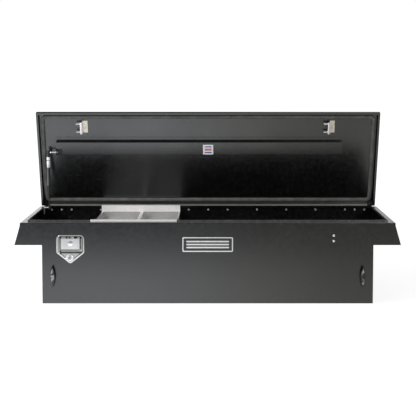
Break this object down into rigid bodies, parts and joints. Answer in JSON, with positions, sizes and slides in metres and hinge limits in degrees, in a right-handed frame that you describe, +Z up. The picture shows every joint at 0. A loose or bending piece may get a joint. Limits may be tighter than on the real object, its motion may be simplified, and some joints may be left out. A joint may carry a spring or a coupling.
{
  "type": "truck tool box",
  "caption": "Crossover truck tool box with side wings, a gas-strut lid with seal and strikers, a paddle latch with lock, and a sliding tray.",
  "frame": {"origin": "middle of the floor's underside", "axes": "+X along the box across the truck, +Y towards the hinge and the cab, +Z up"},
  "size_m": [1.804, 0.561, 0.8787],
  "materials": {
    "black_powder_coat": "fine-textured satin black powder coat over sheet aluminium",
    "bright_aluminium": "mill finish, lightly brushed",
    "zinc_steel": "zinc plated, slightly yellow",
    "bright_steel": "bright plated",
    "stainless": "brushed stainless",
    "black_steel": "black oxide",
    "strut_tube": "gloss black paint",
    "strut_socket": "glass-filled black nylon",
    "seal_rubber": "soft EPDM bulb seal",
    "gloss_black": "gloss black",
    "badge_metal": "satin border around a dark field"
  },
  "bodies": {
    "box": {"badge_plate": "badge_metal", "claw_pins": "bright_steel", "cleat_screws": "bright_steel", "floor_panel": "black_powder_coat", "front_panel": "black_powder_coat", "front_rim": "black_powder_coat", "handle_dish": "stainless", "handle_gasket": "seal_rubber", "hinge_body_leaf": "bright_aluminium", "hinge_pin": "bright_steel", "hinge_screws": "bright_steel", "latch_nuts": "bright_steel", "latch_screws": "bright_steel", "left_latch_housing": "black_steel", "left_rim": "black_powder_coat", "left_side_panel": "black_powder_coat", "left_wing_end": "black_powder_coat", "left_wing_floor": "black_powder_coat", "lock_body": "stainless", "lock_nut": "bright_steel", "paddle_spring": "bright_steel", "rear_panel": "black_powder_coat", "rear_rim": "black_powder_coat", "right_latch_housing": "black_steel", "right_rim": "black_powder_coat", "right_side_panel": "black_powder_coat", "right_wing_end": "black_powder_coat", "right_wing_floor": "black_powder_coat", "shaft_bearing": "zinc_steel", "strut_body_bracket": "zinc_steel", "strut_lower_stud": "bright_steel", "tie_down_cleats": "gloss_black"},
    "lid": {"lid_shell": "black_powder_coat", "lid_seal": "seal_rubber", "lid_channel": "black_powder_coat", "hinge_lid_leaf": "bright_aluminium", "striker_brackets": "zinc_steel", "striker_rods": "bright_steel", "striker_screws": "bright_steel", "strut_lid_bracket": "black_steel", "strut_upper_stud": "bright_steel"},
    "strut_rod_body": {"strut_rod": "black_steel", "strut_rod_end": "strut_socket"},
    "strut_tube_body": {"strut_cylinder": "strut_tube", "strut_cylinder_end": "strut_socket"},
    "paddle_body": {"paddle": "stainless", "release_shaft": "black_steel", "left_pawl": "black_steel", "right_pawl": "black_steel"},
    "lock_body_turning": {"lock_plug": "bright_steel", "lock_cam": "black_steel"},
    "left_claw_body": {"left_claw": "black_steel"},
    "right_claw_body": {"right_claw": "black_steel"},
    "tray": {"tray_pan": "bright_aluminium", "tray_hangers": "bright_aluminium", "tray_divider": "bright_aluminium"}
  },
  "joints": [
    {"name": "lid_hinge", "type": "hinge", "parent": "box", "child": "lid", "pos_m": [0, 0.2576, 0.381], "axis": [-1, 0, 0], "range_deg": [-75, 0], "stiffness_Nm_per_rad": 4, "springref_deg": 126.05},
    {"name": "strut_pivot", "type": "hinge", "parent": "box", "child": "strut_rod_body", "pos_m": [-0.815, 0.194, 0.383], "axis": [-1, 0, 0], "range_deg": [-88.52, 0.5]},
    {"name": "strut_slide", "type": "slide", "parent": "strut_rod_body", "child": "strut_tube_body", "axis": [0, -0.0807, 0.9967], "range_m": [-0.05017, 0.0005]},
    {"name": "paddle_hinge", "type": "hinge", "parent": "box", "child": "paddle_body", "pos_m": [-0.641, -0.244, 0.308], "axis": [-1, 0, 0], "range_deg": [0, 35], "stiffness_Nm_per_rad": 0.8, "springref_deg": -28.65},
    {"name": "lock_turn", "type": "hinge", "parent": "box", "child": "lock_body_turning", "pos_m": [-0.644, -0.24, 0.216], "axis": [0, -1, 0], "range_deg": [0, 90]},
    {"name": "left_claw_turn", "type": "hinge", "parent": "box", "child": "left_claw_body", "pos_m": [-0.659, -0.1784, 0.366], "axis": [1, 0, 0], "range_deg": [0, 65], "stiffness_Nm_per_rad": 0.05, "springref_deg": -28.65},
    {"name": "right_claw_turn", "type": "hinge", "parent": "box", "child": "right_claw_body", "pos_m": [0.596, -0.1784, 0.366], "axis": [1, 0, 0], "range_deg": [0, 65], "stiffness_Nm_per_rad": 0.05, "springref_deg": -28.65},
    {"name": "tray_slide", "type": "slide", "parent": "box", "child": "tray", "axis": [1, 0, 0], "range_m": [-0.08, 0.7]}
  ],
  "couplings": [
    {"joint": "strut_pivot", "follows": "lid_hinge", "ratio": 1.1735},
    {"joint": "strut_slide", "follows": "lid_hinge", "m_per_rad": 0.037942}
  ]
}
